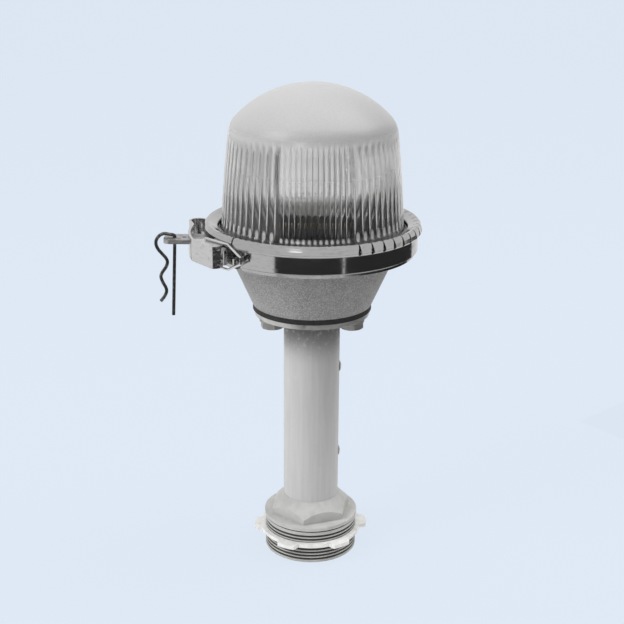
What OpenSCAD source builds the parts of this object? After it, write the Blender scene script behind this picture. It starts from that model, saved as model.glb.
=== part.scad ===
// Elevated runway light: threaded foot, breakable coupling, tubular column,
// cast lamp housing, and a fluted glass dome held by a latched clamp band.
// Millimetres. Z is up, the origin is on the column's axis in the plane of the
// foot's lower end, and the toggle latch is on the -X side.

/* [Foot and coupling] */
// Outside diameter of the foot's pipe thread
thread_d = 59.6; // [56:0.1:62]
// Length of the threaded spigot
thread_len = 22.4; // [18:0.2:26]
// Pitch of the pipe thread
thread_pitch = 2.309; // [2:0.001:2.6]
// Height of the top of the coupling, where the column starts
coupling_top = 37; // [36:0.5:42]
// Width of the coupling's hexagon across its flats
hex_width = 46.5; // [44:0.5:50]
// Height of the lock ring's underside on the thread
ring_z = 12; // [4:0.5:14]
// Thickness of the lock ring
ring_thick = 2.4; // [1.8:0.1:3]

/* [Column] */
// Outside diameter of the column tube
column_d = 35.5; // [34.5:0.1:36]
// Wall of the column tube
column_wall = 2; // [1.8:0.1:2.2]
// Height of the column tube's upper end
column_top = 161.7; // [150:0.1:175]

/* [Flange and seal] */
// Diameter of the column flange
flange_d = 72; // [70:0.5:74]
// Thickness of the column flange
flange_thick = 3.3; // [3:0.1:4]
// Thickness of the rubber seal on it
seal_thick = 3.3; // [2.5:0.1:4]
// Diameter of the circle that the three bolts stand on
bolt_circle = 56.6; // [55:0.2:58]

/* [Housing] */
// Outside diameter of the housing at the seal
housing_foot_d = 74.4; // [73:0.2:78]
// Outside diameter of the housing just under its rim
housing_mouth_d = 104; // [102:0.5:106]
// Height from the seal to the underside of the housing's rim
housing_h = 33.3; // [32:0.1:35]
// Wall of the cast housing
housing_wall = 3.2; // [2.8:0.1:3.6]

/* [Dome] */
// Outside diameter of the glass at its foot
dome_d = 112; // [111:0.2:113]
// Height of the glass dome above its flange's underside
dome_h = 93.6; // [90:0.2:98]
// Thickness of the glass wall
glass = 4; // [3.5:0.1:4.5]
// Spacing of the fine flutes in the two beam panels
fine_pitch = 3.2; // [3:0.1:3.6]
// Spacing of the coarse flutes in the side panels
coarse_pitch = 5.4; // [5:0.1:6]
// Width in degrees of each beam panel
panel_angle = 48; // [40:1:60]

/* [Latch] */
// Diameter of the spring clip's wire
clip_wire = 2.1; // [1.8:0.1:2.2]

/* [Hidden] */
$fn = 96;
eps = 0.01;

// Heights that stack up from the foot
collar_z = thread_len;
boss_z = collar_z + 2.2;
flange_z = column_top;
seal_z = flange_z + flange_thick;
housing_z = seal_z + seal_thick;
rim_z = housing_z + housing_h;
gasket_z = rim_z + 6.9;
gasket_thick = 2.5;
dome_z = gasket_z + gasket_thick;

// Radii used by several pieces
thread_r = thread_d / 2;
column_r = column_d / 2;
column_bore = column_r - column_wall;
sleeve_r = column_bore - 0.05;
wire_way = 12;
flange_r = 62;
dome_r = dome_d / 2;
band_r = 64.8;
band_wall = 1.2;

// Latch: plan frame with x back along the band and y away from it
latch_mid_z = 210.25;
latch_az = 38.5;
pivot_r = 71.5;
pivot_x = -pivot_r * cos(latch_az);
pivot_y = -pivot_r * sin(latch_az);
latch_turn = 90 + latch_az;
lever_h = 13.3;
lever_z = latch_mid_z - lever_h / 2;
sheet = 1.4;
bail_wire = 1.5;
bail_joint = [12.4, -1.2];
bail_hook = [-17.65, -4.7];
bail_reach = lever_h / 2 + 0.15 + bail_wire / 2;
bail_nose = 3;
bail_shoulder = 19.5;
pin_r = 1.5;
gap_from = 225;

// Staple and clip
staple_y = -8;
staple_z = 209;
staple_thick = 2.5;
clip_x = -84;

function polar(r, a) = [r * cos(a), r * sin(a)];
function arc(c, r, a0, a1, n) = [for (i = [0:n]) c + polar(r, a0 + (a1 - a0) * i / n)];

// Outline of a bent strip of even thickness along a centre line
function unit(v) = v / norm(v);
function along(p, i) = unit(p[min(i + 1, len(p) - 1)] - p[max(i - 1, 0)]);
function side(p, i, w) = p[i] + w / 2 * [-along(p, i)[1], along(p, i)[0]];
function strip(p, w) = concat([for (i = [0:len(p) - 1]) side(p, i, w)],
                              [for (i = [len(p) - 1:-1:0]) side(p, i, -w)]);

// A smooth line through a list of points, four steps for each stretch
function knot(p, i) = p[max(0, min(len(p) - 1, i))];
function curve_at(a, b, c, d, t) = 0.5 * (2 * b + (c - a) * t + (2 * a - 5 * b + 4 * c - d) * t * t
                                          + (3 * b - a - 3 * c + d) * t * t * t);
function smooth_line(p, steps = 4) = concat(
    [for (i = [0:len(p) - 2]) for (s = [0:steps - 1])
        curve_at(knot(p, i - 1), p[i], p[i + 1], knot(p, i + 2), s / steps)],
    [p[len(p) - 1]]);

// A round wire along points that all lie in one plane with the given normal
module wire(p, r, normal, sides = 10) {
    rings = [for (i = [0:len(p) - 1])
        let (t = along(p, i), u = unit(cross(t, normal)))
            for (k = [0:sides - 1]) p[i] + r * (cos(360 * k / sides) * u + sin(360 * k / sides) * normal)];
    n = len(p);
    walls = [for (i = [0:n - 2]) for (k = [0:sides - 1])
        let (a = i * sides + k, b = i * sides + (k + 1) % sides)
            each [[a, b, b + sides], [a, b + sides, a + sides]]];
    caps = concat([for (k = [1:sides - 2]) [0, k + 1, k]],
                  [for (k = [1:sides - 2]) let (e = (n - 1) * sides) [e, e + k, e + k + 1]]);
    polyhedron(rings, concat(walls, caps));
}

module at_angles(list) { for (a = list) rotate([0, 0, a]) children(); }
module tube(r_out, r_in, z0, z1) {
    translate([0, 0, z0]) difference() {
        cylinder(r = r_out, h = z1 - z0);
        translate([0, 0, -1]) cylinder(r = r_in, h = z1 - z0 + 2);
    }
}
module latch_frame() { translate([pivot_x, pivot_y, 0]) rotate([0, 0, latch_turn]) children(); }
module hexagon(width, h) { cylinder(r = width / sqrt(3), h = h, $fn = 6); }

// Breakable coupling: threaded spigot, collar and hexagonal boss with a sloping
// shoulder, bored for the cable and, higher up, for the sleeve inside the column.
thread_depth = 0.9;
thread_land = 1.4;
thread_turns = floor((thread_len - thread_land - 1.6) / thread_pitch);
hex_turn = -9.5;
sleeve_foot = 24;
sleeve_top = 78;
module thread_outline() {
    groove = thread_pitch - 0.5;
    polygon(concat(
        [[wire_way, 0], [thread_r, 0]],
        [for (i = [0:thread_turns - 1]) let (z = thread_land + i * thread_pitch) each
            [[thread_r, z], [thread_r - thread_depth, z + groove / 2], [thread_r, z + groove]]],
        [[thread_r, collar_z - 1], [thread_r - 1.2, collar_z - 0.6], [thread_r - 1.2, collar_z],
         [wire_way, collar_z]]));
}
module coupling() {
    color("#c4c4c4") difference() {
        union() {
            rotate_extrude($fn = 180) thread_outline();
            tube(thread_r + 0.5, wire_way, collar_z - eps, boss_z);
            intersection() {
                rotate([0, 0, hex_turn - 90]) translate([0, 0, boss_z - eps])
                    hexagon(hex_width, coupling_top - boss_z);
                rotate_extrude() polygon([[0, boss_z - 1], [30, boss_z - 1], [30, coupling_top - 12],
                                          [column_r + 0.1, coupling_top], [0, coupling_top]]);
            }
        }
        translate([0, 0, -1]) cylinder(r = wire_way, h = coupling_top);
        translate([0, 0, -1]) cylinder(r = 20, h = 17);
        translate([0, 0, sleeve_foot]) cylinder(r = column_bore, h = coupling_top);
        // thinned wall that lets the light break off above the collar
        tube(21.2, wire_way - 1, boss_z + 1, boss_z + 3);
    }
}

// Sleeve inside the coupling's upper bore and the foot of the column
module coupling_sleeve() {
    color("#bcbcbc") difference() {
        tube(sleeve_r, wire_way, sleeve_foot, sleeve_top);
        translate([0, 0, screw_heights[0]]) rotate([0, 90, screw_turn]) cylinder(r = 2.05, h = 30, $fn = 32);
    }
}

// Lock ring: thin ring nut with six lugs, run up the thread
module lock_ring() {
    color("#d2d2d2") translate([0, 0, ring_z]) difference() {
        union() {
            cylinder(r = 33, h = ring_thick);
            intersection() {
                cylinder(r = 37, h = ring_thick);
                at_angles([for (k = [0:5]) 60 * k - 116])
                    linear_extrude(ring_thick) polygon([[30, -7.4], [33, -7], [35.8, -6.2], [38, -4.6],
                                                       [38, 4.6], [35.8, 6.2], [33, 7], [30, 7.4]]);
            }
        }
        translate([0, 0, -1]) cylinder(r = thread_r + 0.1, h = ring_thick + 2, $fn = 180);
    }
}

// Rubber bush in the foot's bore, the inlet for the supply cable
module cable_bush() {
    color("#2c2c2c") rotate_extrude() polygon([[5, 4], [19.9, 4], [19.9, 14], [7, 14], [5, 11]]);
}

// Column tube with cross holes for its two screws
screw_heights = [66, 125];
screw_turn = 2;
module column_tube() {
    color("#b4b4b4") difference() {
        tube(column_r, column_bore, coupling_top, column_top);
        for (z = screw_heights) translate([0, 0, z]) rotate([0, 90, screw_turn])
            cylinder(r = 2.05, h = 30, $fn = 32);
    }
}

// Two slotted pan head screws in the column's side
module slot(head_r, top, depth = 0.6) {
    translate([-head_r - 1, -0.4, top - depth]) cube([2 * head_r + 2, 0.8, 2]);
}
module pan_screw(head_r, shank) {
    rotate([0, 90, 0]) difference() {
        union() {
            cylinder(r = head_r, h = 0.4, $fn = 40);
            translate([0, 0, 0.4]) intersection() {
                cylinder(r = head_r, h = 0.7, $fn = 40);
                translate([0, 0, 0.7 - head_r * 2.4]) sphere(r = head_r * 2.4, $fn = 60);
            }
            translate([0, 0, -shank]) cylinder(r = 2, h = shank + 0.1, $fn = 32);
        }
        rotate([0, 0, 35]) slot(head_r, 1.1);
    }
}
module column_screws() {
    color("#9a9a9a") rotate([0, 0, screw_turn]) {
        translate([column_r + 0.05, 0, screw_heights[0]]) pan_screw(3, 5);
        translate([column_r + 0.05, 0, screw_heights[1]]) pan_screw(3.25, 8);
    }
}

// Nut inside the tube on the upper screw
module column_nut() {
    color("#b0a070") rotate([0, 0, screw_turn]) translate([column_bore - 4.4, 0, screw_heights[1]])
        rotate([0, 90, 0]) difference() {
            hexagon(7, 3.2);
            translate([0, 0, -1]) cylinder(r = 2.02, h = 6, $fn = 32);
        }
}

// Column flange: round plate that the tube is welded to
bolt_turns = [-150, -30, 90];
module column_flange() {
    color("#bcbcbc") difference() {
        translate([0, 0, flange_z]) cylinder(r = flange_d / 2, h = flange_thick);
        translate([0, 0, flange_z - 1]) cylinder(r = wire_way, h = 10);
        at_angles(bolt_turns) translate([bolt_circle / 2, 0, flange_z - 1]) cylinder(r = 4.5, h = 8, $fn = 48);
    }
}

// Black rubber seal between flange and housing
module base_seal() {
    color("#222222") difference() {
        translate([0, 0, seal_z]) cylinder(r = housing_foot_d / 2 - 0.1, h = seal_thick);
        translate([0, 0, seal_z - 1]) cylinder(r = 14, h = 10);
        at_angles(bolt_turns) translate([bolt_circle / 2, 0, seal_z - 1]) cylinder(r = 4.5, h = 8, $fn = 48);
    }
}

// Three hexagon bolts that hold the housing down on the seal, and their washers
washer_thick = 1.3;
bolt_head = 4.4;
bolt_end = housing_z + 11;
module base_bolts() {
    color("#9c9c9c") at_angles(bolt_turns) translate([bolt_circle / 2, 0, 0]) {
        translate([0, 0, flange_z - washer_thick - bolt_head]) rotate([0, 0, 12]) intersection() {
            hexagon(13, bolt_head);
            translate([0, 0, 13.1]) sphere(r = 14.6, $fn = 72);
        }
        translate([0, 0, flange_z - washer_thick - 0.1]) cylinder(r = 3.95, h = bolt_end - flange_z, $fn = 48);
    }
}
module base_washers() {
    color("#b8b8b8") at_angles(bolt_turns) translate([bolt_circle / 2, 0, flange_z - washer_thick])
        difference() {
            cylinder(r = 7.9, h = washer_thick, $fn = 60);
            translate([0, 0, -1]) cylinder(r = 4.2, h = 4, $fn = 48);
        }
}

// Cast lamp housing: tapered shell, floor with three bolt bosses, clamped rim
floor_thick = 5;
foot_r = housing_foot_d / 2;
mouth_r = housing_mouth_d / 2;
pillar_x = 20;
module housing() {
    color("#a4a4a4") difference() {
        union() {
            difference() {
                rotate_extrude($fn = 144) polygon([
                    [14, housing_z], [foot_r, housing_z], [mouth_r, rim_z], [mouth_r + 5.2, rim_z + 2.4],
                    [flange_r, rim_z + 2.6], [flange_r, gasket_z], [mouth_r - 2.6, gasket_z],
                    [mouth_r - 2.6, rim_z], [foot_r - housing_wall + 1.6, housing_z + floor_thick],
                    [14, housing_z + floor_thick]]);
            }
            at_angles(bolt_turns) translate([bolt_circle / 2, 0, housing_z]) cylinder(r = 6.6, h = 14, $fn = 48);
            for (s = [-1, 1]) translate([s * pillar_x, 0, housing_z + 1]) cylinder(r = 5, h = 11, $fn = 40);
            translate([12, 19, housing_z + 1]) cylinder(r = 5, h = 8, $fn = 40);
        }
        at_angles(bolt_turns) translate([bolt_circle / 2, 0, housing_z - 1]) cylinder(r = 4, h = 13, $fn = 48);
        for (s = [-1, 1]) translate([s * pillar_x, 0, housing_z + 4]) cylinder(r = 2, h = 9, $fn = 32);
        translate([12, 19, housing_z + 3]) cylinder(r = 2, h = 9, $fn = 32);
    }
}

// Rubber ring under the glass
module glass_gasket() {
    color("#3a3a3a") tube(flange_r - 0.2, 50, gasket_z, dome_z);
}

// Glass dome: slightly drawn-in wall, rounded shoulder, shallow crown, flutes inside
wall_from = 6.4;
wall_to = 64;
crown_r = 64.7;
function wall_r(h) = dome_r - 0.045 * (h - wall_from) - 0.00066 * pow(h - wall_from, 2);
function wall_line(inset, h0, h1) = [for (i = [0:6]) let (h = h0 + (h1 - h0) * i / 6) [wall_r(h) - inset, h]];
function crown_line(inset, top, edge) = [for (i = [0:10])
    let (a = edge * (1 - i / 10)) [(crown_r - inset) * sin(a), top - crown_r + (crown_r - inset) * cos(a)]];
crown_edge = 46;
module dome_outline() {
    polygon(concat(
        [[52, 0], [flange_r, 0], [flange_r, 5.3], [58.6, 6.2]],
        wall_line(0, wall_from, wall_to),
        [[wall_r(wall_to) - 1.1, wall_to + 4.2], [wall_r(wall_to) - 2.6, wall_to + 7.2]],
        crown_line(0, dome_h, crown_edge),
        crown_line(glass, dome_h, 0) ,
        [for (p = [9:-1:0]) crown_line(glass, dome_h, crown_edge - 1)[p]],
        [[wall_r(wall_to) - 5, wall_to + 3.4]],
        [for (p = [6:-1:0]) wall_line(glass, wall_from - 2, wall_to)[p]]));
}
module flute(r, h0, h1) {
    lean = atan2(wall_r(h0) - wall_r(h1), h1 - h0);
    translate([wall_r(h0) - glass + 0.5, 0, h0]) rotate([0, -lean, 0]) cylinder(r = r, h = h1 - h0, $fn = 24);
}
fine_step = fine_pitch / 52 * 180 / PI;
coarse_step = coarse_pitch / 52 * 180 / PI;
fine_count = floor(panel_angle / fine_step);
coarse_count = floor((180 - panel_angle) / coarse_step);
module glass_dome() {
    color("#dcdcdc") translate([0, 0, dome_z]) union() {
        rotate_extrude($fn = 180) dome_outline();
        for (half = [0, 180]) rotate([0, 0, half - 87]) {
            for (i = [0:fine_count - 1]) rotate([0, 0, (i - (fine_count - 1) / 2) * fine_step])
                flute(1.3, 9, 61);
            for (i = [0:coarse_count - 1]) rotate([0, 0, 90 + (i - (coarse_count - 1) / 2) * coarse_step])
                flute(1.9, 9, 64);
        }
    }
}

// Clamp band: V section ring, open at the latch, where the rim's ends almost meet.
// The rim is slit opposite the latch so that the ring can be sprung open.
slit_step = 7.2;
slit_from = -66;
slit_count = 30;
module band_section() {
    polygon([[58.2, 202.5], [61.2, 201.6], [63.2, 202.2], [63.6, 204], [band_r, 204.8], [band_r, 214.6],
             [66.3, 215.2], [67, 216.3], [66.6, 218.6], [65.9, 220.5], [64.7, 221.5], [63.2, 221.2],
             [58.4, 218.7], [58.4, 217.6], [59, 217.6], [63.4, 220], [64.4, 220.3], [65, 219.6], [65.6, 217.8],
             [65.7, 216.8], [65.2, 216.2], [band_r - band_wall, 215.6], [band_r - band_wall, 205.6],
             [62.4, 203.7], [58.2, 203.7]]);
}
module slits() {
    at_angles([for (i = [0:slit_count - 1]) slit_from + i * slit_step]) translate([0, 0, 215])
        linear_extrude(8) polygon([[61.6, -0.25], [65.2, -0.3], [66.4, -0.7], [68, -2.2], [68, 2.2], [66.4, 0.7],
                                   [65.2, 0.3], [61.6, 0.25]]);
}
module gap_cut() {
    rotate([0, 0, gap_from]) rotate([90, 0, 90]) translate([0, 0, 50]) linear_extrude(20)
        polygon([[0, 195], [0, 230], [1.2, 230], [1.2, 214.9], [9, 214.9], [9.1, 211], [8.8, 208.4], [7.2, 206.2],
                 [5, 204.6], [5, 195]]);
}
// Where each rivet stands, as a turn about the column's axis
rivet_turns = [177, 196.5, 208, 213.2];
module rivet_holes() {
    for (a = rivet_turns) translate([0, 0, latch_mid_z]) rotate([0, 90, a])
        translate([0, 0, 60]) cylinder(r = 1.6, h = 10, $fn = 32);
}
module clamp_band() {
    color("#8c8c8c") difference() {
        rotate_extrude($fn = 180) band_section();
        slits();
        gap_cut();
        rivet_holes();
    }
}

// A curved strap that lies against the band between two turns
strap_in = band_r + 0.05;
strap_out = strap_in + 1.2;
module strap(a0, a1, z0, z1, r_in = strap_in, r_out = strap_out) {
    difference() {
        translate([0, 0, z0]) linear_extrude(z1 - z0)
            polygon(concat(arc([0, 0], r_out, a0, a1, 12), arc([0, 0], r_in, a1, a0, 12)));
        rivet_holes();
    }
}

// Latch base: strap on the band with two lugs that carry the pivot
lug_thick = 1.3;
lug_low = lever_z + sheet + 0.75;
lug_high = lever_z + lever_h - sheet - 0.75 - lug_thick;
module lug_outline() {
    difference() {
        union() {
            circle(r = 3, $fn = 48);
            polygon([[2, -2.2], [5.4, -5.75], [14, -6.9], [14, -5.4], [8, -3.4], [1, 2.8]]);
        }
        circle(r = pin_r + 0.02, $fn = 40);
    }
}
module latch_base() {
    color("#a8a8a8") {
        strap(205, 222.2, lug_low, lug_high + lug_thick - 0.35);
        latch_frame() for (z = [lug_low, lug_high]) translate([0, 0, z])
            linear_extrude(lug_thick) lug_outline();
        // turned-up end that shields the pivot
        difference() {
            latch_frame() translate([0, 0, lug_low]) linear_extrude(lug_high + lug_thick - 0.35 - lug_low)
                polygon(strip(arc([0, 0], 6.5, 186, 236, 8), 1.2));
            cylinder(r = strap_in + 0.6, h = 300);
        }
    }
}

// Pivot pin of the lever, filed flush with its ears
module latch_pin() {
    color("#d0d0d0") latch_frame() translate([0, 0, lever_z]) cylinder(r = pin_r, h = lever_h, $fn = 40);
}

// Latch lever: bent sheet with two ears, a slot for the staple and a rolled end
lever_line = concat([[-4.55, 0.3]], arc([-1.2, 2.2], 2, 158, 92, 4), arc([17.4, -3.2], 7.2, 88, 68, 3),
                    arc([-5.2, -62.9], 71, 67, 48, 6), [[48.5, -15.8]], arc([54.7, -23.9], 5.3, 78, -100, 14));
module ear_outline() {
    difference() {
        union() {
            circle(r = 4, $fn = 48);
            translate(bail_joint) circle(r = 3.3, $fn = 48);
            polygon([[-3.6, -1.5], [-3.6, 2], [-1, 4], [17.4, 3.9], [16, 0.6], [12.9, -4.4], [-0.4, -3.95]]);
        }
        circle(r = pin_r + 0.06, $fn = 40);
        translate(bail_joint) circle(r = bail_wire / 2 + 0.08, $fn = 40);
    }
}
module latch_lever() {
    color("#b6b6b6") difference() {
        latch_frame() {
            translate([0, 0, lever_z]) linear_extrude(lever_h) polygon(strip(lever_line, sheet));
            for (z = [lever_z, lever_z + lever_h - sheet]) translate([0, 0, z])
                linear_extrude(sheet) ear_outline();
        }
        translate([-84, -17, staple_z - 0.5]) cube([18, 30, staple_thick + 1]);
        // corners of the front wall, cut back so that it swings clear of the band's rim
        latch_frame() for (z = [lever_z - 1, lever_z + lever_h - 2.2]) translate([-8, -2, z]) cube([3.8, 4.8, 3.2]);
        // lower edge, drawn up towards the rolled end
        latch_frame() translate([0, -5, 0]) rotate([90, 0, 0]) linear_extrude(30)
            polygon([[44, 200], [44, 203.6], [46.5, 204.2], [49, 205.4], [51, 206.3], [70, 206.3], [70, 200]]);
    }
}

// Bail: one wire, hooked into the lever's ears, drawn in to a narrow nose
// that goes round behind the keeper
bail_run = bail_hook - bail_joint;
bail_len = norm(bail_run);
bail_angle = atan2(bail_run[1], bail_run[0]);
module rod(p, q, r = bail_wire / 2) {
    v = q - p;
    translate(p) rotate([0, acos(v[2] / norm(v)), atan2(v[1], v[0])]) cylinder(r = r, h = norm(v), $fn = 32);
    for (end = [p, q]) translate(end) sphere(r = r + 0.05, $fn = 32);
}
module latch_bail() {
    color("#c8c8c8") latch_frame() translate([bail_joint[0], bail_joint[1], latch_mid_z])
        rotate([0, 0, bail_angle]) {
            for (s = [-1, 1]) {
                rod([0, 0, s * 4.6], [0, 0, s * bail_reach]);
                rod([0, 0, s * bail_reach], [bail_shoulder, 0, s * bail_reach]);
                rod([bail_shoulder, 0, s * bail_reach], [bail_len - 2, 0, s * bail_nose]);
                rod([bail_len - 2, 0, s * bail_nose], [bail_len, 0, s * (bail_nose - 0.9)]);
            }
            rod([bail_len, 0, 0.9 - bail_nose], [bail_len, 0, bail_nose - 0.9]);
        }
}

// Keeper hook: strap spot welded inside the band's other end, with a hook that
// comes out through the gap and holds the bail's nose
keeper_line = concat([[-15.15, -10.5], [-15.15, -3]], arc([-17.1, -2.7], 1.9, 15, 72, 4), [[-17.9, -0.85]]);
module keeper_hook() {
    color("#b0b0b0") {
        strap(232.2, 246, latch_mid_z - 3.2, latch_mid_z + 3.2, band_r - band_wall - 1.1, band_r - band_wall - 0.05);
        latch_frame() translate([0, 0, latch_mid_z - 1.65]) linear_extrude(3.3) polygon(strip(keeper_line, sheet));
    }
}

// Locking staple: flat tongue that comes out through the lever, with two holes
tongue_tip = -90.5;
module locking_staple() {
    color("#bababa") {
        strap(174, 199, latch_mid_z - 4, latch_mid_z + 4);
        translate([0, staple_y, staple_z]) linear_extrude(staple_thick) difference() {
            union() {
                translate([tongue_tip + 4, -7.5]) square([-tongue_tip - 66.5, 15]);
                translate([tongue_tip, -3.5]) square([6, 7]);
                for (s = [-1, 1]) translate([tongue_tip + 4, s * 3.5]) circle(r = 4, $fn = 40);
            }
            translate([0, -staple_y]) circle(r = strap_in + 0.3, $fn = 180);
            for (x = [clip_x, clip_x + 5.8]) translate([x, 0]) circle(r = 1.3, $fn = 32);
        }
    }
}

// Rivets that hold base and staple on the band; the keeper is spot welded
module latch_rivets() {
    color("#d8d8d8") for (a = rivet_turns) translate([0, 0, latch_mid_z]) rotate([0, 90, a]) {
        translate([0, 0, band_r - band_wall - 0.3]) cylinder(r = 1.55, h = 3, $fn = 32);
        translate([0, 0, strap_out + 0.05]) cylinder(r1 = 2.2, r2 = 1.6, h = 0.9, $fn = 40);
    }
}

// Spring clip: a straight leg through the staple and a waved leg outside its tip
clip_turns = [[clip_x - 0.1, 209], [clip_x, 211.6], [-84.9, 212.8], [-87.4, 213.2], [-90.4, 213.6], [-93.2, 212.4],
              [-95.3, 209.6], [-95.6, 206.6], [-94.3, 203.5], [-91.9, 200.6], [-89.8, 198], [-89, 195.6],
              [-89.9, 192.5], [-92.3, 189], [-93.3, 186.2], [-92.2, 182.6], [-90.4, 179], [-90.2, 176.2],
              [-91.7, 173.1], [-93.8, 170.4]];
clip_foot = [-86.2, 161.4];
module r_clip() {
    bend = smooth_line([for (p = clip_turns) [p[0], staple_y, p[1]]]);
    color("#585858") wire(concat([[clip_foot[0], staple_y, clip_foot[1]]], bend), clip_wire / 2, [0, 1, 0]);
}

// Bent bracket that carries the lampholder above the housing floor
floor_z = housing_z + floor_thick;
pillar_top = housing_z + 12;
holder_z = 211;
holder_hole = 10;
module lampholder_bracket() {
    color("#c0c0c0") difference() {
        translate([0, 7, pillar_top]) rotate([90, 0, 0]) linear_extrude(14) union() {
            for (s = [-1, 1]) {
                translate([s > 0 ? 12.75 : -25.5, 0]) square([12.75, 1.5]);
                translate([s > 0 ? 12.75 : -14.25, 0]) square([1.5, holder_z - pillar_top]);
            }
            translate([-14.25, holder_z - pillar_top - 1.5]) square([28.5, 1.5]);
        }
        for (s = [-1, 1]) {
            translate([s * pillar_x, 0, pillar_top - 1]) cylinder(r = 2.1, h = 4, $fn = 32);
            translate([s * holder_hole, 0, holder_z - 3]) cylinder(r = 1.6, h = 6, $fn = 32);
        }
        translate([0, 0, holder_z - 3]) cylinder(r = 5, h = 6, $fn = 40);
    }
}
module bracket_screws() {
    color("#b8b090") for (s = [-1, 1]) translate([s * pillar_x, 0, pillar_top + 1.5]) {
        difference() {
            cylinder(r = 3.6, h = 2.2, $fn = 36);
            rotate([0, 0, 60 + s * 25]) slot(3.6, 2.2, 0.9);
        }
        translate([0, 0, -8.5]) cylinder(r = 1.98, h = 8.6, $fn = 32);
    }
}

// Ceramic lampholder with two contact holes
holder_h = 14;
pin_gap = 6.35;
module lampholder() {
    color("#e4e0d4") difference() {
        union() {
            translate([-12.5, -6, holder_z]) cube([25, 12, 6]);
            translate([-7.5, -6, holder_z]) cube([15, 12, holder_h]);
        }
        for (s = [-1, 1]) {
            translate([s * pin_gap / 2, 0, holder_z + 3]) cylinder(r = 0.72, h = holder_h, $fn = 24);
            translate([s * holder_hole, 0, holder_z - 1]) cylinder(r = 1.6, h = 10, $fn = 32);
            translate([s * pin_gap / 2, 0, holder_z - 1]) cylinder(r = 1.3, h = 4, $fn = 24);
        }
    }
}
module holder_screws() {
    color("#b8b090") for (s = [-1, 1]) translate([s * holder_hole, 0, holder_z + 6]) {
        difference() {
            cylinder(r = 2.3, h = 1.4, $fn = 32);
            rotate([0, 0, 20 - s * 50]) slot(2.3, 1.4);
        }
        translate([0, 0, -5.9]) cylinder(r = 1.5, h = 6, $fn = 32);
    }
}

// Lamp: glass capsule, ceramic cap, pins and filament
cap_z = holder_z + holder_h + 0.1;
cap_h = 8;
bulb_r = 6.2;
bulb_z = cap_z + cap_h;
module lamp_glass() {
    color("#f0f0f0") translate([0, 0, bulb_z]) {
        difference() {
            union() {
                cylinder(r1 = 4.2, r2 = bulb_r, h = 4, $fn = 60);
                translate([0, 0, 4]) cylinder(r = bulb_r, h = 16, $fn = 60);
                translate([0, 0, 20]) sphere(r = bulb_r, $fn = 60);
            }
            translate([0, 0, 4]) cylinder(r = bulb_r - 1, h = 16, $fn = 60);
            translate([0, 0, 20]) sphere(r = bulb_r - 1, $fn = 60);
        }
    }
}
module lamp_cap() {
    color("#ece8dc") difference() {
        translate([-6.5, -4, cap_z]) cube([13, 8, cap_h]);
        for (s = [-1, 1]) translate([s * pin_gap / 2, 0, cap_z - 1]) cylinder(r = 0.65, h = 5, $fn = 24);
    }
}
module lamp_pins() {
    color("#c8c8c8") for (s = [-1, 1]) translate([s * pin_gap / 2, 0, cap_z - 8]) cylinder(r = 0.64, h = 12, $fn = 24);
}
module lamp_filament() {
    color("#808080") translate([0, 0, bulb_z + 4]) {
        for (s = [-1, 1]) translate([s * 2.6, 0, 0]) cylinder(r = 0.3, h = 9, $fn = 16);
        translate([-2.6, 0, 8.6]) rotate([0, 90, 0]) cylinder(r = 0.75, h = 5.2, $fn = 24);
    }
}

// Two-way terminal block on the floor in front of the bracket, with its screws
block_y = -23;
way_gap = 9;
module terminal_block() {
    color("#d8d4c8") difference() {
        translate([-way_gap, block_y - 5, floor_z]) cube([2 * way_gap, 10, 11]);
        for (s = [-1, 1]) {
            translate([s * way_gap / 2, block_y - 6, floor_z + 4]) rotate([-90, 0, 0])
                cylinder(r = 1.6, h = 12, $fn = 24);
            for (t = [-1, 1]) translate([s * way_gap / 2, block_y + t * 2.6, floor_z + 6])
                cylinder(r = 1.5, h = 8, $fn = 24);
        }
    }
}
module terminal_screws() {
    color("#c0a860") for (s = [-1, 1]) for (t = [-1, 1])
        translate([s * way_gap / 2, block_y + t * 2.6, floor_z + 6.4]) difference() {
            cylinder(r = 1.42, h = 4, $fn = 24);
            rotate([0, 0, 40 * s + 70 * t]) slot(1.42, 4);
        }
}

// Two leads from the lampholder's contacts to the terminal block
module lead(s) {
    route = smooth_line([[s * pin_gap / 2, 0, holder_z + 1.8], [s * pin_gap / 2, 0, holder_z - 5],
                         [s * 3.3, -2, holder_z - 14], [s * 3.8, -7, floor_z + 15], [s * 4.3, -11, floor_z + 8],
                         [s * 4.5, -15, floor_z + 4.4], [s * 4.5, block_y + 3.5, floor_z + 4]], 3);
    wire(route, 1.1, [1, 0, 0], 8);
}
module lamp_leads() {
    color("#d0d0d0") {
        lead(-1);
        lead(1);
    }
}

// Earth screw on its boss in the housing, and the ring tag under it
earth_top = housing_z + 9;
module earth_screw() {
    color("#c0a860") translate([12, 19, earth_top + 0.8]) {
        hexagon(7, 2.8);
        translate([0, 0, -5.5]) cylinder(r = 1.98, h = 5.6, $fn = 32);
    }
}
module earth_tag() {
    color("#c8b070") translate([12, 19, earth_top]) linear_extrude(0.8) difference() {
        union() {
            circle(r = 4, $fn = 40);
            translate([-13, -1.6]) square([11, 3.2]);
        }
        circle(r = 2.1, $fn = 32);
    }
}

coupling();
coupling_sleeve();
lock_ring();
cable_bush();
column_tube();
column_screws();
column_nut();
column_flange();
base_seal();
base_bolts();
base_washers();
housing();
glass_gasket();
glass_dome();
clamp_band();
latch_base();
latch_pin();
latch_lever();
latch_bail();
keeper_hook();
locking_staple();
latch_rivets();
r_clip();
lampholder_bracket();
bracket_screws();
lampholder();
holder_screws();
lamp_glass();
lamp_cap();
lamp_pins();
lamp_filament();
terminal_block();
terminal_screws();
lamp_leads();
earth_screw();
earth_tag();
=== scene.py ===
import math

import bmesh
import bpy
from mathutils import Matrix, Vector


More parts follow.
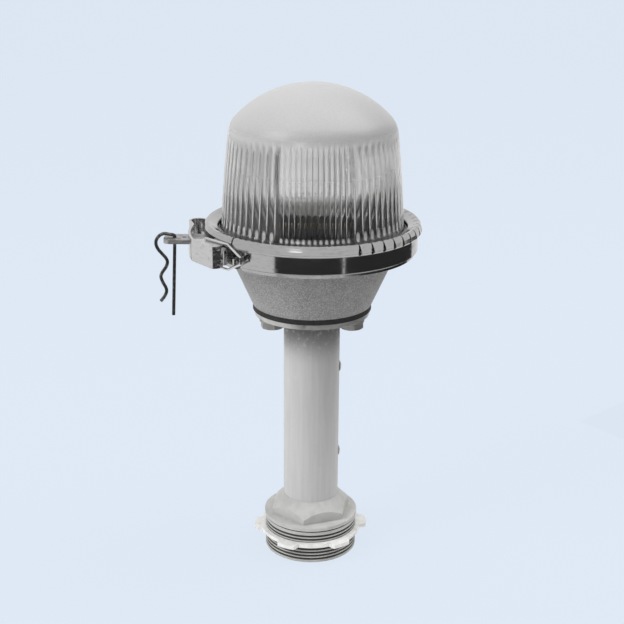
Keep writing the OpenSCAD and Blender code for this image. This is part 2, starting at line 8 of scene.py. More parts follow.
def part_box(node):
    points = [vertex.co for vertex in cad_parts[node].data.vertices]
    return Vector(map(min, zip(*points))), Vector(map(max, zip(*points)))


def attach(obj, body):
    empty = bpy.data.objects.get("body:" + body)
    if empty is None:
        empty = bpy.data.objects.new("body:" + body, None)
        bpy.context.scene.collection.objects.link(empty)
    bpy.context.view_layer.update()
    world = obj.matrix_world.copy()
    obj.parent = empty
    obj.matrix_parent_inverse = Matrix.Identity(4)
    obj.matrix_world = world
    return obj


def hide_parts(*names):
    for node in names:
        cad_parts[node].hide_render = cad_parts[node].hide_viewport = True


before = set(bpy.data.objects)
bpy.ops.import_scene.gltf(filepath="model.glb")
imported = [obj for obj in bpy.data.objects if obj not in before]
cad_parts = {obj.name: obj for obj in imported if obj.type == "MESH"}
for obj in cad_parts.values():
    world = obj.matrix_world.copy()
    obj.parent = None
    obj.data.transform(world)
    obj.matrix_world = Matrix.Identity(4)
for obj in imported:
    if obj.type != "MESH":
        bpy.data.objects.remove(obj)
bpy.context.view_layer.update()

# Coupling: the foot of the light, turned from aluminium alloy bar with a pipe
# thread, a collar and a hexagon, and left bare. The lathe leaves fine rings on
# it, and the roots of the thread are darkened with painted shade.
MM = 0.001
THREAD_TOP = 22.4 * MM
THREAD_CREST = 29.75 * MM
ROOT_SHADE_EDGE = 0.2 * MM
ROOT_SHADE_DEPTH = 0.35 * MM
LATHE_PITCH = 0.5 * MM
ONE_BAND = math.pi / 10  # the scale at which a wave texture has one band to the metre
SMOOTH = {"interpolation_type": "SMOOTHSTEP"}
COLOURS = {"data_type": "RGBA"}
TIMES = {"operation": "MULTIPLY"}


def linear(hex_value, shade=1.0):
    """An sRGB hex colour as linear RGBA, darker where shade is under 1."""
    channels = [int(hex_value[i:i + 2], 16) / 255 for i in (1, 3, 5)]
    lit = [c / 12.92 if c <= 0.04045 else ((c + 0.055) / 1.055) ** 2.4 for c in channels]
    return [min(1.0, c * shade) for c in lit] + [1.0]


def add(tree, kind, settings=None, **inputs):
    """Adds a node, sets its options, and fills its inputs or links them to a node or a socket.

    An input goes by its identifier, which tells apart sockets that share a name.
    """
    made = tree.nodes.new(kind)
    for option, value in (settings or {}).items():
        setattr(made, option, value)
    for key, value in inputs.items():
        socket = next(s for s in made.inputs if s.identifier.replace(" ", "_") == key)
        if isinstance(value, bpy.types.Node):
            value = next(s for s in value.outputs if s.enabled)
        if isinstance(value, bpy.types.NodeSocket):
            tree.links.new(value, socket)
        else:
            socket.default_value = value
    return made


def new_material(name):
    """A material with an empty node tree, and the object's own coordinates in it."""
    material = bpy.data.materials.new(name)
    material.use_nodes = True
    tree = material.node_tree
    tree.nodes.clear()
    return material, tree, add(tree, "ShaderNodeTexCoord").outputs["Object"]


def patches(tree, place, size, start=0.3, end=0.7, low=0.0, high=1.0, detail=5.0):
    """A value that drifts from low to high in soft patches of about the given size in millimetres.

    The step from low to high lies between start and end of a cloud that runs from 0 to 1.
    """
    cloud = add(tree, "ShaderNodeTexNoise", Vector=place, Scale=1 / (size * MM), Detail=detail, Roughness=0.6)
    return add(tree, "ShaderNodeMapRange", SMOOTH, Value=cloud, From_Min=start, From_Max=end, To_Min=low,
               To_Max=high)


def mottled(tree, place, colour, size, depth):
    """A colour that drifts darker and lighter in patches of the given size."""
    return add(tree, "ShaderNodeMix", COLOURS, Factor_Float=patches(tree, place, size),
               A_Color=linear(colour, 1 - depth), B_Color=linear(colour, 1 + depth * 0.6))


def relief(tree, height, depth, strength=0.5, edge=0.25):
    """Bump of the given depth in millimetres on edges rounded by the given radius."""
    rounded = add(tree, "ShaderNodeBevel", {"samples": 4}, Radius=edge * MM)
    return add(tree, "ShaderNodeBump", Strength=strength, Distance=depth * MM, Height=height, Normal=rounded)


def surface(tree, colour, rough, normal, metallic=0.0, **extra):
    """The finished shader, linked to the output."""
    shader = add(tree, "ShaderNodeBsdfPrincipled", Base_Color=colour, Roughness=rough, Metallic=metallic,
                 Normal=normal, **extra)
    add(tree, "ShaderNodeOutputMaterial", Surface=shader)


def dress(name, material):
    """Gives a part from the frame its finished material."""
    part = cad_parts[name]
    if not part.material_slots:
        part.data.materials.append(material)
    for slot in part.material_slots:
        slot.material = material


def turned_alloy():
    """Bare turned aluminium alloy: pale, dull-bright, with lathe rings and painted shade in the thread roots.

    The rings are drawn 0.5 mm apart, coarser than a real cut, so that they show.
    """
    material, tree, place = new_material("turned_aluminium_alloy")
    bare = mottled(tree, place, "#bcbcba", 8, 0.1)
    height = add(tree, "ShaderNodeSeparateXYZ", Vector=place).outputs["Z"]
    below = add(tree, "ShaderNodeMapRange", SMOOTH, Value=height, From_Min=THREAD_TOP + ROOT_SHADE_EDGE,
                From_Max=THREAD_TOP)
    flat = add(tree, "ShaderNodeVectorMath", TIMES, Vector=place, Vector_001=(1, 1, 0))
    radius = add(tree, "ShaderNodeVectorMath", {"operation": "LENGTH"}, Vector=flat)
    inside = add(tree, "ShaderNodeMapRange", SMOOTH, Value=radius, From_Min=THREAD_CREST,
                 From_Max=THREAD_CREST - ROOT_SHADE_DEPTH)
    # Painted shade: below the top of the thread, the roots are darkened towards #3a3938.
    painted_shade = add(tree, "ShaderNodeMath", TIMES, Value=below, Value_001=inside)
    colour = add(tree, "ShaderNodeMix", COLOURS, Factor_Float=painted_shade, A_Color=bare, B_Color=linear("#3a3938"))
    rough = patches(tree, place, 6, low=0.5, high=0.65)
    rings = add(tree, "ShaderNodeTexWave", {"bands_direction": "Z"}, Vector=place,
                Scale=ONE_BAND / LATHE_PITCH, Distortion=0.6, Detail=1.0).outputs["Fac"]
    surface(tree, colour, rough, relief(tree, rings, 0.02), metallic=0.12)
    return material


dress("coupling", turned_alloy())


# Sleeve and cable bush: the sleeve is a length of the same alloy inside the
# coupling and the column, and the bush is a moulded rubber ring in the foot.
def grained(tree, place, size, depth, detail=2.0, strength=0.5, edge=0.25):
    """Relief of a cloudy grain, with its size and its depth in millimetres."""
    cloud = add(tree, "ShaderNodeTexNoise", Vector=place, Scale=1 / (size * MM), Detail=detail, Roughness=0.6)
    return relief(tree, cloud, depth, strength, edge)


def drawn_alloy():
    """Drawn aluminium tube inside the column: plain, a little streaked, never handled."""
    material, tree, place = new_material("drawn_aluminium_sleeve")
    streaks = add(tree, "ShaderNodeMapping", Vector=place, Scale=(1, 1, 0.06))
    colour = mottled(tree, streaks, "#c4c4c2", 1.5, 0.08)
    surface(tree, colour, 0.4, grained(tree, streaks, 0.5, 0.01), metallic=0.9)
    return material


def black_rubber(name, bloom=0.12):
    """Moulded rubber: nearly black, matt, with a grey bloom and a fine grain of 0.4 mm."""
    material, tree, place = new_material(name)
    colour = mottled(tree, place, "#262626", 7, bloom)
    rough = patches(tree, place, 3, low=0.6, high=0.8)
    surface(tree, colour, rough, grained(tree, place, 0.4, 0.03))
    return material


dress("coupling_sleeve", drawn_alloy())
dress("cable_bush", black_rubber("cable_bush_rubber"))


# Lock ring: a thin steel ring nut with six lugs, stamped and zinc plated, run
# up the thread under the collar. Its zinc has gone chalky, nearly white.
def plated(name, colour="#c9c9c7", rough=0.34, grain=0.5, metal=0.9):
    """Plated metal: light grey with a soft cloudy sheen and a faint grain, and dull where it is chalky."""
    material, tree, place = new_material(name)
    tone = mottled(tree, place, colour, 5, 0.12)
    sheen = patches(tree, place, 2.5, 0.25, 0.75, rough * 0.8, rough * 1.25)
    surface(tree, tone, sheen, grained(tree, place, grain, 0.02), metallic=metal)
    return material


dress("lock_ring", plated("chalky_zinc_lock_ring", "#eaeae8", 0.5, metal=0.15))

# Column: a plain length of drawn aluminium tube under one coat of pale grey
# paint. Drawing left long faint streaks, which the thin paint still shows, and
# its head is darkened below the flange with painted shadow.
COLUMN_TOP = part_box("column_tube")[1][2]
SHADED_LENGTH = 32 * MM


def column_paint():
    """Satin grey paint on drawn tube: slightly streaked along, a few dull rubs, and painted shadow under the
    flange.
    """
    material, tree, place = new_material("satin_grey_column_paint")
    streaks = add(tree, "ShaderNodeMapping", Vector=place, Scale=(1, 1, 0.05))
    drawn = mottled(tree, streaks, "#bdbdbd", 2.2, 0.06)
    rubs = patches(tree, place, 9, 0.6, 0.8, high=0.5)
    rubbed = add(tree, "ShaderNodeMix", COLOURS, Factor_Float=rubs, A_Color=drawn, B_Color=linear("#c8c8c8"))
    # Painted shadow: the top of the column, below the flange, is darkened in blotches towards #4c4c4c.
    height = add(tree, "ShaderNodeSeparateXYZ", Vector=place).outputs["Z"]
    upper = add(tree, "ShaderNodeMapRange", SMOOTH, Value=height, From_Min=COLUMN_TOP - SHADED_LENGTH,
                From_Max=COLUMN_TOP, To_Max=0.95)
    flange_shadow = add(tree, "ShaderNodeMath", TIMES, Value=upper, Value_001=patches(tree, place, 3, 0.2, 0.5))
    colour = add(tree, "ShaderNodeMix", COLOURS, Factor_Float=flange_shadow, A_Color=rubbed, B_Color=linear("#4c4c4c"))
    rough = patches(tree, streaks, 4, low=0.42, high=0.55)
    surface(tree, colour, rough, grained(tree, place, 0.8, 0.05, edge=0.15))
    return material


column_grey = column_paint()
dress("column_tube", column_grey)


# Column screws and nut: two small pan head screws in the column's right side,
# painted over with it, and a brass nut that stays inside.
def dulled_brass():
    """Turned brass that has dulled: warm yellow with brown patches and a fine grain."""
    material, tree, place = new_material("dulled_brass")
    dull = patches(tree, place, 3, 0.45, 0.75)
    colour = add(tree, "ShaderNodeMix", COLOURS, Factor_Float=dull, A_Color=linear("#c8a862"),
                 B_Color=linear("#8d7443"))
    rough = patches(tree, place, 1.5, low=0.28, high=0.45)
    surface(tree, colour, rough, grained(tree, place, 0.3, 0.015, edge=0.12), metallic=1.0)
    return material


brass = dulled_brass()
dress("column_screws", column_grey)
dress("column_nut", brass)

# Column flange: a steel plate fixed to the column's head, machined on its rim
# and face and zinc plated.
dress("column_flange", plated("machined_flange_plate", "#cfcfcd", 0.38))

# Base seal: a black rubber ring between the flange and the housing, with a
# faint grey bloom on its edge.
dress("base_seal", black_rubber("seal_rubber", 0.25))

# Base bolts: three hexagon head bolts and plain washers that come up through
# flange and seal into the housing, zinc plated and gone a little dull.
dull_zinc = plated("dull_zinc_fasteners", "#a9a9a7", 0.42, 0.35)
dress("base_bolts", dull_zinc)
dress("base_washers", dull_zinc)


# Housing: a tapered aluminium casting, stove enamelled grey outside over the
# grain of the sand mould. Its inside is coloured near black, as painted shade,
# so that it shows dark below the glass.
def cast_enamel():
    """Stove enamel on a sand casting: mid grey, half matt, grainy at about 1 mm, with painted shade inside in
    near black.
    """
    material, tree, place = new_material("stove_enamelled_casting")
    speckle = patches(tree, place, 0.9, 0.38, 0.66, high=0.5, detail=3)
    body = mottled(tree, place, "#868686", 9, 0.12)
    worn = add(tree, "ShaderNodeMix", COLOURS, Factor_Float=speckle, A_Color=body, B_Color=linear("#c4c4c4"))
    # Painted shade: faces that turn inwards, the housing's inside, are coloured near black.
    facing = add(tree, "ShaderNodeNewGeometry").outputs["Normal"]
    flat = add(tree, "ShaderNodeVectorMath", TIMES, Vector=place, Vector_001=(1, 1, 0))
    outward = add(tree, "ShaderNodeVectorMath", {"operation": "NORMALIZE"}, Vector=flat)
    turned_out = add(tree, "ShaderNodeVectorMath", {"operation": "DOT_PRODUCT"}, Vector=facing,
                     Vector_001=outward)
    outside = add(tree, "ShaderNodeMapRange", SMOOTH, Value=turned_out, From_Min=0.02, From_Max=0.1)
    colour = add(tree, "ShaderNodeMix", COLOURS, Factor_Float=outside, A_Color=linear("#101010"),
                 B_Color=worn)
    rough = patches(tree, place, 3, low=0.42, high=0.6)
    surface(tree, colour, rough, grained(tree, place, 1.1, 0.14, detail=3, strength=0.6, edge=0.5))
    return material


dress("housing", cast_enamel())

# Glass gasket: a moulded rubber ring in the housing's mouth, which the dome's
# flange is pressed down on.
dress("glass_gasket", black_rubber("gasket_rubber", 0.1))


# Lampholder: a moulded phenolic block on a bent steel bracket over the
# housing's floor, all black, held with small brass screws.
def black_phenolic():
    """Moulded phenolic: deep brown-black, smooth and half glossy, with fine filler specks."""
    material, tree, place = new_material("black_phenolic_moulding")
    specks = patches(tree, place, 0.5, 0.55, 0.7, detail=2)
    colour = add(tree, "ShaderNodeMix", COLOURS, Factor_Float=specks, A_Color=linear("#17130f"),
                 B_Color=linear("#2a241d"))
    surface(tree, colour, 0.32, grained(tree, place, 0.9, 0.02))
    return material


def blacked_steel():
    """Chemically blacked steel sheet: blue-black, satin, rubbed a little brighter in places."""
    material, tree, place = new_material("blacked_steel_sheet")
    rubs = patches(tree, place, 5, 0.55, 0.75)
    colour = add(tree, "ShaderNodeMix", COLOURS, Factor_Float=rubs, A_Color=linear("#2a2b2d"),
                 B_Color=linear("#4a4b4d"))
    surface(tree, colour, 0.38, grained(tree, place, 0.5, 0.02), metallic=0.8)
    return material


phenolic = black_phenolic()
dress("lampholder_bracket", blacked_steel())
dress("lampholder", phenolic)
for name in ("bracket_screws", "holder_screws"):
    dress(name, brass)

# Lamp: a tungsten halogen capsule in hard glass on a ceramic cap with two
# nickel pins, pushed into the lampholder.
COIL_PITCH = 0.25 * MM


def clear_capsule():
    """Hard glass, clear and smooth, with the faint waves of a tube worked in a flame."""
    material, tree, place = new_material("hard_glass_capsule")
    waves = grained(tree, place, 4, 0.08, detail=1, strength=0.3, edge=0.1)
    surface(tree, linear("#f6f6f6"), 0.02, waves, Transmission_Weight=1.0, IOR=1.48)
    return material


def steatite():
    """Fired steatite ceramic: off-white, matt, with a dry grain of 0.3 mm."""
    material, tree, place = new_material("steatite_ceramic")
    colour = mottled(tree, place, "#b9b5ab", 2, 0.08)
    surface(tree, colour, 0.6, grained(tree, place, 0.3, 0.03))
    return material


def tungsten():
    """Coiled tungsten: dark grey metal, the coil's turns shown as ridges 0.25 mm apart."""
    material, tree, place = new_material("coiled_tungsten")
    turns = add(tree, "ShaderNodeTexWave", {"bands_direction": "X"}, Vector=place,
                Scale=ONE_BAND / COIL_PITCH).outputs["Fac"]
    colour = add(tree, "ShaderNodeMix", COLOURS, Factor_Float=turns, A_Color=linear("#3c3b3a"),
                 B_Color=linear("#8a8886"))
    surface(tree, colour, 0.35, relief(tree, turns, 0.08, edge=0.05), metallic=1.0)
    return material


dress("lamp_glass", clear_capsule())
dress("lamp_cap", steatite())
dress("lamp_pins", plated("nickel_pins", "#b8b6b0", 0.25, 0.3))
dress("lamp_filament", tungsten())


# Terminals: a phenolic block with brass screws on the housing's floor, two
# sleeved leads from it to the lampholder, and the earth screw on its boss.
def silicone_sleeve():
    """Braided silicone sleeving: dull grey with a fine weave, about 0.6 mm to a strand."""
    material, tree, place = new_material("braided_silicone_sleeve")
    strands = add(tree, "ShaderNodeTexVoronoi", Vector=place, Scale=1 / (0.6 * MM)).outputs["Distance"]
    colour = add(tree, "ShaderNodeMix", COLOURS, Factor_Float=strands, A_Color=linear("#6a6a66"),
                 B_Color=linear("#3a3a38"))
    surface(tree, colour, 0.65, relief(tree, strands, 0.08, edge=0.05))
    return material


dress("terminal_block", phenolic)
dress("lamp_leads", silicone_sleeve())
for name in ("terminal_screws", "earth_screw", "earth_tag"):
    dress(name, brass)

# Glass dome: pressed in one piece in clear soda glass, with a flange to clamp
# and flutes inside the wall, fine ones in two beam panels at front and back and
# coarse ones between them. The plunger left the inside of its crown frosted.
DOME_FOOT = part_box("glass_dome")[0][2]
DOME_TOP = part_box("glass_dome")[1][2] - DOME_FOOT
GLASS = 4 * MM
FLANGE_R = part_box("glass_dome")[1][0]
FLANGE_THICK = 5.3 * MM
FLANGE_EDGE = 0.3 * MM
FILLET = [(58.6 * MM, 6.0 * MM), (57.2 * MM, 6.2 * MM)]
WALL_R = 56 * MM
WALL_FROM = 6.4 * MM
WALL_TO = 64 * MM
WALL_DRAFT = 0.045
WALL_BEND = 0.00066
SHOULDER_DRAFT = 0.12
CROWN_R = 64.7 * MM
CROWN_EDGE = math.radians(46)
PLUG_R = 12.5 * MM
PLUG_EDGE = 1.2 * MM
PLUG_DIP = 0.25 * MM
INNER_FOOT = WALL_FROM + 1 * MM
LOW_RINGS_TO = INNER_FOOT + 9 * MM
SPIN_STEPS = 900

# Each kind of flute: its pitch in degrees, how many stand in a panel, its depth, the
# length of its pale toe (a painted highlight), and how fast its crease's painted shade fades.
# The pattern starts at FIRST_FLUTE degrees and comes twice round the dome.
FINE = {"pitch": 3.6, "count": 13, "depth": 0.8 * MM, "toe": 3.4 * MM, "fade": 5.5}
COARSE = {"pitch": 5.6, "count": 23, "depth": 1.3 * MM, "toe": 6.5 * MM, "fade": 2.3}
STRIP_WIDTH = 2.2
# Painted shade: how dark the plain strips between the panels are painted.
STRIP_SHADE = (0.45, 1.0)
FIRST_FLUTE = -111.8
FLUTE_FOOT = 7.5 * MM
FLUTE_END = 3 * MM
# The patch on the right where no painted shade lies on the coarse flutes.
UNSHADED_RISE = 0.7
UNSHADED_REACH = 0.26
OUTER_LINES_FROM = 24 * MM
OUTER_LINES_FADE = 20 * MM
OUTER_LINES_END = 4 * MM
HAZE_FROM = 24 * MM
HAZE_TO = 50 * MM
FROST_FROM = WALL_TO - 3 * MM
FROST_TO = WALL_TO + 5 * MM


def wall_radius(h):
    """The outside of the wall, drawn in a little as it rises."""
    rise = (h - WALL_FROM) / MM
    return WALL_R - (WALL_DRAFT * rise + WALL_BEND * rise * rise) * MM


def wall_line(inset, low, high, count):
    """Points up the wall at even heights, inset from its outside."""
    heights = [low + (high - low) * i / count for i in range(count + 1)]
    return [(wall_radius(h) - inset, h) for h in heights]


def shoulder_line(inset, count):
    """The bend from wall to crown, as a curve between their tangents."""
    start = Vector((wall_radius(WALL_TO) - inset, WALL_TO))
    end = Vector(((CROWN_R - inset) * math.sin(CROWN_EDGE),
                  DOME_TOP - CROWN_R + (CROWN_R - inset) * math.cos(CROWN_EDGE)))
    rise = Vector((-SHOULDER_DRAFT, 1.0))
    fall = Vector((math.cos(CROWN_EDGE), -math.sin(CROWN_EDGE)))
    gap = end - start
    reach = (gap.x * fall.y - gap.y * fall.x) / (rise.x * fall.y - rise.y * fall.x)
    corner = start + rise * reach
    steps = [i / count for i in range(1, count)]
    return [tuple(start * (1 - t) ** 2 + corner * 2 * t * (1 - t) + end * t * t) for t in steps]


def crown_line(inset, count):
    """The crown, with a shallow ring at its middle where the plunger's plug ended."""
    line = []
    for i in range(count + 1):
        turn = CROWN_EDGE * (1 - i / count)
        r = (CROWN_R - inset) * math.sin(turn)
        dip = PLUG_DIP * math.exp(-((r - PLUG_R) / PLUG_EDGE) ** 2) if inset == 0 else 0
        line.append((r, DOME_TOP - CROWN_R + (CROWN_R - inset) * math.cos(turn) - dip))
    return line


def dome_section():
    """The dome's section, up the outside and down the inside, closer set where the toes are."""
    outside = [(WALL_R - GLASS, 0), (FLANGE_R, 0), (FLANGE_R, FLANGE_THICK - FLANGE_EDGE),
               (FLANGE_R - FLANGE_EDGE, FLANGE_THICK)] + FILLET
    outside += wall_line(0, WALL_FROM + 0.4 * MM, WALL_TO, 10) + shoulder_line(0, 6) + crown_line(0, 24)
    inside = crown_line(GLASS, 12)[::-1] + shoulder_line(GLASS, 4)[::-1]
    inside += wall_line(GLASS, LOW_RINGS_TO, WALL_TO, 20)[::-1]
    inside += wall_line(GLASS, INNER_FOOT, LOW_RINGS_TO, 9)[-2::-1]
    return outside + inside


def within(flutes, turn):
    """How far across its flute a turn stands, from 0 to 1, and how near it is to a crease."""
    across = (turn / flutes["pitch"]) % 1
    return across, max(0.0, 1 - flutes["fade"] * min(across, 1 - across))


def flute_at(turn, rise):
    """The kind of flute at a turn in degrees, how far across it the turn stands, and the painted shade there.

    The painted shade thickens from left to right across a fine panel. On the right the coarse flutes have a
    patch without it around a set rise, where a rise of 0 is the flutes' foot and 1 is the shoulder.
    """
    t = (turn - FIRST_FLUTE) % 180
    fine_width = FINE["pitch"] * FINE["count"]
    if t < fine_width:
        across, crease = within(FINE, t)
        return FINE, across, crease * min(1.0, 0.3 + 0.9 * t / fine_width)
    t -= fine_width + STRIP_WIDTH
    if 0 <= t < COARSE["pitch"] * COARSE["count"]:
        across, crease = within(COARSE, t)
        right = (turn - FIRST_FLUTE) % 360 < 180
        unshaded = max(0.0, 1 - ((rise - UNSHADED_RISE) / UNSHADED_REACH) ** 2) if right else 0.0
        return COARSE, across, crease * (1 - unshaded)
    return None, 0.0, STRIP_SHADE[0] if t < 0 else STRIP_SHADE[1]


def unit(value):
    """A value kept between 0 and 1."""
    return min(1.0, max(0.0, value))


def press_flutes(shell):
    """Pushes the inner wall in to flutes, and keeps the painted shade of their creases and their toes as
    attributes.

    Higher up the painted shade of the creases also shows at half strength on the outside of the wall, as fine
    lines.
    """
    crease = shell.verts.layers.float.new("crease")
    toe = shell.verts.layers.float.new("toe")
    for vert in shell.verts:
        h = vert.co.z - DOME_FOOT
        r = math.hypot(vert.co.x, vert.co.y)
        if not INNER_FOOT - 0.1 * MM < h < WALL_TO + 3 * MM or r > wall_radius(h) + 0.5 * MM:
            continue
        turn = math.degrees(math.atan2(vert.co.y, vert.co.x))
        flutes, across, painted_shade = flute_at(turn, (h - FLUTE_FOOT) / (WALL_TO - FLUTE_FOOT))
        if r > wall_radius(h) - GLASS * 0.6:
            above = unit((h - OUTER_LINES_FROM) / OUTER_LINES_FADE)
            vert[crease] = 0.5 * painted_shade * min(above, unit((WALL_TO - h) / OUTER_LINES_END))
            continue
        foot = unit((h - FLUTE_FOOT) / FLUTE_END)
        swell = math.sqrt(foot * (2 - foot)) * unit((WALL_TO - h) / FLUTE_END)
        vert[crease] = painted_shade * min(1.0, swell * 1.5)
        if flutes:
            push = flutes["depth"] * swell * math.sqrt(max(0.0, 1 - (2 * across - 1) ** 2))
            vert.co.x *= (r - push) / r
            vert.co.y *= (r - push) / r
            # Painted highlight: the toe at each flute's foot is kept here so that the glass can show it pale.
            half = flutes["toe"] / 2
            down = (h - FLUTE_FOOT - half) / half
            vert[toe] = unit(2.2 * (1 - down ** 2 - (3.0 * across - 1.5) ** 2))


def fluted_dome():
    """The pressed dome as one mesh: its section spun about the axis, then fluted."""
    shell = bmesh.new()
    points = [shell.verts.new((r, 0, DOME_FOOT + h)) for r, h in dome_section()]
    lines = [shell.edges.new(pair) for pair in zip(points, points[1:] + points[:1])
             if pair[0].co.x > 1e-6 or pair[1].co.x > 1e-6]
    bmesh.ops.rotate(shell, verts=points, matrix=Matrix.Rotation(math.radians(FIRST_FLUTE), 3, "Z"))
    bmesh.ops.spin(shell, geom=points + lines, cent=(0, 0, 0), axis=(0, 0, 1), angle=2 * math.pi,
                   steps=SPIN_STEPS, use_merge=True)
    bmesh.ops.remove_doubles(shell, verts=shell.verts, dist=0.001 * MM)
    press_flutes(shell)
    bmesh.ops.recalc_face_normals(shell, faces=shell.faces)
    for face in shell.faces:
        face.smooth = True
    mesh = bpy.data.meshes.new("dome_glass")
    shell.to_mesh(mesh)
    shell.free()
    dome = bpy.data.objects.new("dome_glass", mesh)
    bpy.context.scene.collection.objects.link(dome)
    return dome


def pressed_glass():
    """Pressed soda glass: clear wall with a haze higher up, frosted crown, painted shade in the creases and
    pale toes as painted highlights.
    """
    material, tree, place = new_material("pressed_soda_glass")
    height = add(tree, "ShaderNodeSeparateXYZ", Vector=place).outputs["Z"]
    crease = add(tree, "ShaderNodeAttribute", {"attribute_name": "crease"}).outputs["Fac"]
    painted_shade = add(tree, "ShaderNodeMapRange", SMOOTH, Value=crease, From_Min=0.1, From_Max=0.75)
    toes = add(tree, "ShaderNodeAttribute", {"attribute_name": "toe"}).outputs["Fac"]
    frost = add(tree, "ShaderNodeMapRange", SMOOTH, Value=height, From_Min=DOME_FOOT + FROST_FROM,
                From_Max=DOME_FOOT + FROST_TO)
    unshaded = add(tree, "ShaderNodeMix", COLOURS, Factor_Float=frost, A_Color=linear("#f6f6f6"),
                B_Color=mottled(tree, place, "#c4c4c4", 0.9, 0.06))
    # Painted shade: the creases are darkened towards near black.
    colour = add(tree, "ShaderNodeMix", COLOURS, Factor_Float=painted_shade, A_Color=unshaded, B_Color=linear("#141414"))
    haze = add(tree, "ShaderNodeMapRange", SMOOTH, Value=height, From_Min=DOME_FOOT + HAZE_FROM,
               From_Max=DOME_FOOT + HAZE_TO, To_Min=1.0, To_Max=0.7)
    wall = add(tree, "ShaderNodeMix", Factor_Float=frost, A_Float=haze, B_Float=0.35)
    # Painted highlight: the toes are made mostly opaque, so that they show pale.
    clear = add(tree, "ShaderNodeMix", Factor_Float=toes, A_Float=wall, B_Float=0.2)
    rough = add(tree, "ShaderNodeMix", Factor_Float=frost, A_Float=0.025, B_Float=0.3)
    surface(tree, colour, rough, grained(tree, place, 0.9, 0.03, strength=0.4, edge=0.3),
            Transmission_Weight=clear, IOR=1.5)
    return material


dome = fluted_dome()
dome.data.materials.append(pressed_glass())
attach(dome, "dome")
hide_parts("glass_dome")


# Clamp band: rolled from stainless strip to a V section and polished, so that
# its web is a mirror. Its upper rim is slit from the front right on round the
# back, which lets the strip bend to a ring.
def stainless(name, colour="#b8b8b8", rough=0.1, wave=0.04, scuff=0.1):
    """Polished stainless steel: neutral mirror, slightly wavy, with fine rubs along the band."""
    material, tree, place = new_material(name)
    streaks = add(tree, "ShaderNodeMapping", Vector=place, Scale=(0.25, 0.25, 1))
    rubs = patches(tree, streaks, 1.2, 0.45, 0.75, detail=3)
    tone = add(tree, "ShaderNodeMix", COLOURS, Factor_Float=rubs, A_Color=linear(colour),
               B_Color=linear(colour, 1 - scuff))
    dull = add(tree, "ShaderNodeMapRange", Value=rubs, To_Min=rough, To_Max=rough * 2.2)
    surface(tree, tone, dull, grained(tree, place, 7, wave, strength=0.35, edge=0.3), metallic=1.0)
    return material


dress("clamp_band", stainless("polished_band_steel"))

# Latch: a toggle catch of the same stainless, riveted to the band's one end.
# The lever turns on a pin between two lugs, and its wire bail goes round the
# hook on the band's other end.
latch_steel = stainless("polished_latch_steel", "#cfcfcf", 0.16, 0.03, 0.16)
for name in ("latch_base", "latch_lever", "keeper_hook"):
    dress(name, latch_steel)
for name in ("latch_pin", "latch_bail", "latch_rivets"):
    dress(name, stainless("bright_" + name, "#dcdcdc", 0.14, 0.01, 0.08))

# Locking staple: a flat stainless tongue that comes out through the lever's
# slot, left dull from the press.
dress("locking_staple", stainless("dull_staple_steel", "#b4b4b4", 0.34, 0.03, 0.2))


# Spring clip: an R shaped clip bent from hard drawn spring wire, dark from
# its heat treatment, pushed through the staple's outer hole.
def spring_wire():
    """Blued spring wire: dark grey metal with lighter rubs and a fine drawn grain."""
    material, tree, place = new_material("dark_spring_wire")
    rubs = patches(tree, place, 4, 0.5, 0.72)
    colour = add(tree, "ShaderNodeMix", COLOURS, Factor_Float=rubs, A_Color=linear("#4c4c4c"),
                 B_Color=linear("#8c8c8c"))
    rough = patches(tree, place, 1.2, low=0.26, high=0.42)
    surface(tree, colour, rough, grained(tree, place, 0.4, 0.02, edge=0.2), metallic=0.95)
    return material


dress("r_clip", spring_wire())

# Studio: a pale blue sweep under and behind the light, seen by the lens only
# as blue, and as neutral grey in metal and through glass, as in a grey print.
PAPER = "#dde7f3"
GREY_PAPER = "#ececec"
SWEEP_HALF_WIDTH = 4.0
SWEEP_SIDE = [(-3.0, 0.0), (1.2, 0.0), (1.9, 0.12), (2.3, 0.5), (2.4, 1.0), (2.4, 4.0)]
SHOWN_TO = ("Is Camera Ray", "Is Glossy Ray", "Is Transmission Ray")


def seen_by(tree, *kinds):
    """1 for rays of the given kinds, and 0 for the rest."""
    rays = add(tree, "ShaderNodeLightPath")
    seen = 0.0
    for kind in kinds:
        seen = add(tree, "ShaderNodeMath", {"operation": "MAXIMUM"}, Value=seen, Value_001=rays.outputs[kind])
    return seen


def paper_colour(tree):
    """The paper's blue to the lens, and grey to everything else."""
    return add(tree, "ShaderNodeMix", COLOURS, Factor_Float=seen_by(tree, "Is Camera Ray"),
               A_Color=linear(GREY_PAPER), B_Color=linear(PAPER))


def sweep_paper():
    """Matt paper that also glows where it is seen, so that it stays even and takes only a faint shade."""
    material, tree, _ = new_material("backdrop_paper")
    colour = paper_colour(tree)
    glowing = add(tree, "ShaderNodeMath", TIMES, Value=seen_by(tree, *SHOWN_TO), Value_001=0.95)
    paper = add(tree, "ShaderNodeBsdfDiffuse", Color=colour)
    glow = add(tree, "ShaderNodeEmission", Color=colour, Strength=1.0)
    mixed = add(tree, "ShaderNodeMixShader", Fac=glowing, Shader=paper, Shader_001=glow)
    add(tree, "ShaderNodeOutputMaterial", Surface=mixed)
    return material


def stage_mesh(name, shape, material):
    """Puts a studio piece in the scene, apart from the light itself."""
    for face in shape.faces:
        face.smooth = True
    mesh = bpy.data.meshes.new(name)
    shape.to_mesh(mesh)
    shape.free()
    mesh.materials.append(material)
    staged = bpy.data.objects.new(name, mesh)
    bpy.context.scene.collection.objects.link(staged)
    return staged


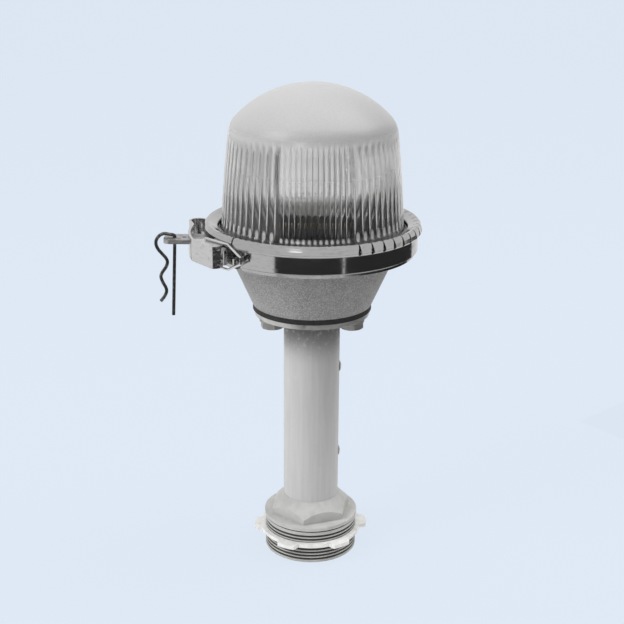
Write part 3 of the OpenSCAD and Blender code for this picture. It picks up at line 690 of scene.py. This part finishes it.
sweep = bmesh.new()
line = [sweep.verts.new((-SWEEP_HALF_WIDTH, y, z)) for y, z in SWEEP_SIDE]
edges = [sweep.edges.new(pair) for pair in zip(line, line[1:])]
drawn = bmesh.ops.extrude_edge_only(sweep, edges=edges)["geom"]
drawn_verts = [v for v in drawn if isinstance(v, bmesh.types.BMVert)]
bmesh.ops.translate(sweep, vec=(2 * SWEEP_HALF_WIDTH, 0, 0), verts=drawn_verts)
stage_mesh("studio_sweep", sweep, sweep_paper())

# Black card: lies on the floor before the light. Polished metal mirrors it, and
# it keeps the floor's own light off the housing and the column. A narrow slot
# in it puts the bright stroke on the band.
CARD_INNER_R = 0.3
CARD_OUTER_R = 2.8
CARD_FROM = 231
CARD_TO = 402
CARD_SLOT = (301.2, 303.2)
CARD_STEP = 4
CARD_HEIGHT = 0.5 * MM


def card_sector(card, start, end):
    """A flat ring sector between two turns in degrees about the light's axis."""
    turn = math.radians(start)
    first = [card.verts.new((r * math.cos(turn), r * math.sin(turn), CARD_HEIGHT))
             for r in (CARD_INNER_R, CARD_OUTER_R)]
    edge = card.edges.new(first)
    bmesh.ops.spin(card, geom=first + [edge], cent=(0, 0, 0), axis=(0, 0, 1), angle=math.radians(end - start),
                   steps=max(1, round((end - start) / CARD_STEP)))


def black_card():
    """Card dyed black right through: matt and even."""
    material, tree, _ = new_material("black_card")
    surface(tree, linear("#060606"), 0.9, add(tree, "ShaderNodeNewGeometry").outputs["Normal"])
    return material


card = bmesh.new()
card_sector(card, CARD_FROM, CARD_SLOT[0])
card_sector(card, CARD_SLOT[1], CARD_TO)
laid = stage_mesh("black_card", card, black_card())
laid.visible_camera = False
laid.visible_transmission = False
laid.visible_shadow = False

# Air: an even soft light from all round, which the lens, metal and glass see
# as the paper's colour.
world = bpy.data.worlds.new("studio_air")
bpy.context.scene.world = world
world.use_nodes = True
tree = world.node_tree
tree.nodes.clear()
air = add(tree, "ShaderNodeBackground", Color=linear("#f2f2f2"), Strength=0.4)
pale = add(tree, "ShaderNodeBackground", Color=paper_colour(tree), Strength=0.95)
mixed = add(tree, "ShaderNodeMixShader", Fac=seen_by(tree, *SHOWN_TO), Shader=air, Shader_001=pale)
add(tree, "ShaderNodeOutputWorld", Surface=mixed)

# Lamps: soft boxes at the upper left, at the right and overhead, which light
# the piece and aren't mirrored in it, and a small lamp at the front left that
# is only mirrored, as a glint on the band's rim.
AIM = Vector((0, 0, 0.17))
SOFT_BOXES = [("key_left", (-1.45, -0.95, 1.6), 1.1, 36), ("fill_right", (1.1, 0.2, 1.7), 1.2, 18),
              ("top_soft", (0.0, 0.1, 1.9), 1.4, 16)]
GLINT = ("glint", (-0.52, -1.72, 0.73), 0.4, 2)

for name, spot, size, power in SOFT_BOXES + [GLINT]:
    lamp = bpy.data.lights.new(name, "AREA")
    lamp.size = size
    lamp.energy = power
    holder = bpy.data.objects.new(name, lamp)
    holder.location = spot
    holder.rotation_euler = (AIM - Vector(spot)).to_track_quat("-Z", "Y").to_euler()
    holder.visible_diffuse = name != GLINT[0]
    holder.visible_glossy = name == GLINT[0]
    bpy.context.scene.collection.objects.link(holder)

# Camera: 0.72 m before the light's axis and 0.4 m up, looking 18.5 degrees
# down with a slight roll, as the photograph was taken.
CAMERA_AT = (0.0, -0.7161, 0.4008)
CAMERA_DOWN = 18.5
CAMERA_ROLL = 0.41

lens = bpy.data.cameras.new("view")
lens.lens = 69.2
lens.sensor_width = 36
camera = bpy.data.objects.new("view", lens)
tilt = Matrix.Rotation(math.radians(90 - CAMERA_DOWN), 4, "X")
roll = Matrix.Rotation(math.radians(CAMERA_ROLL), 4, "Z")
camera.matrix_world = Matrix.Translation(CAMERA_AT) @ tilt @ roll
bpy.context.scene.collection.objects.link(camera)
bpy.context.scene.camera = camera
bpy.context.scene.view_settings.view_transform = "Standard"
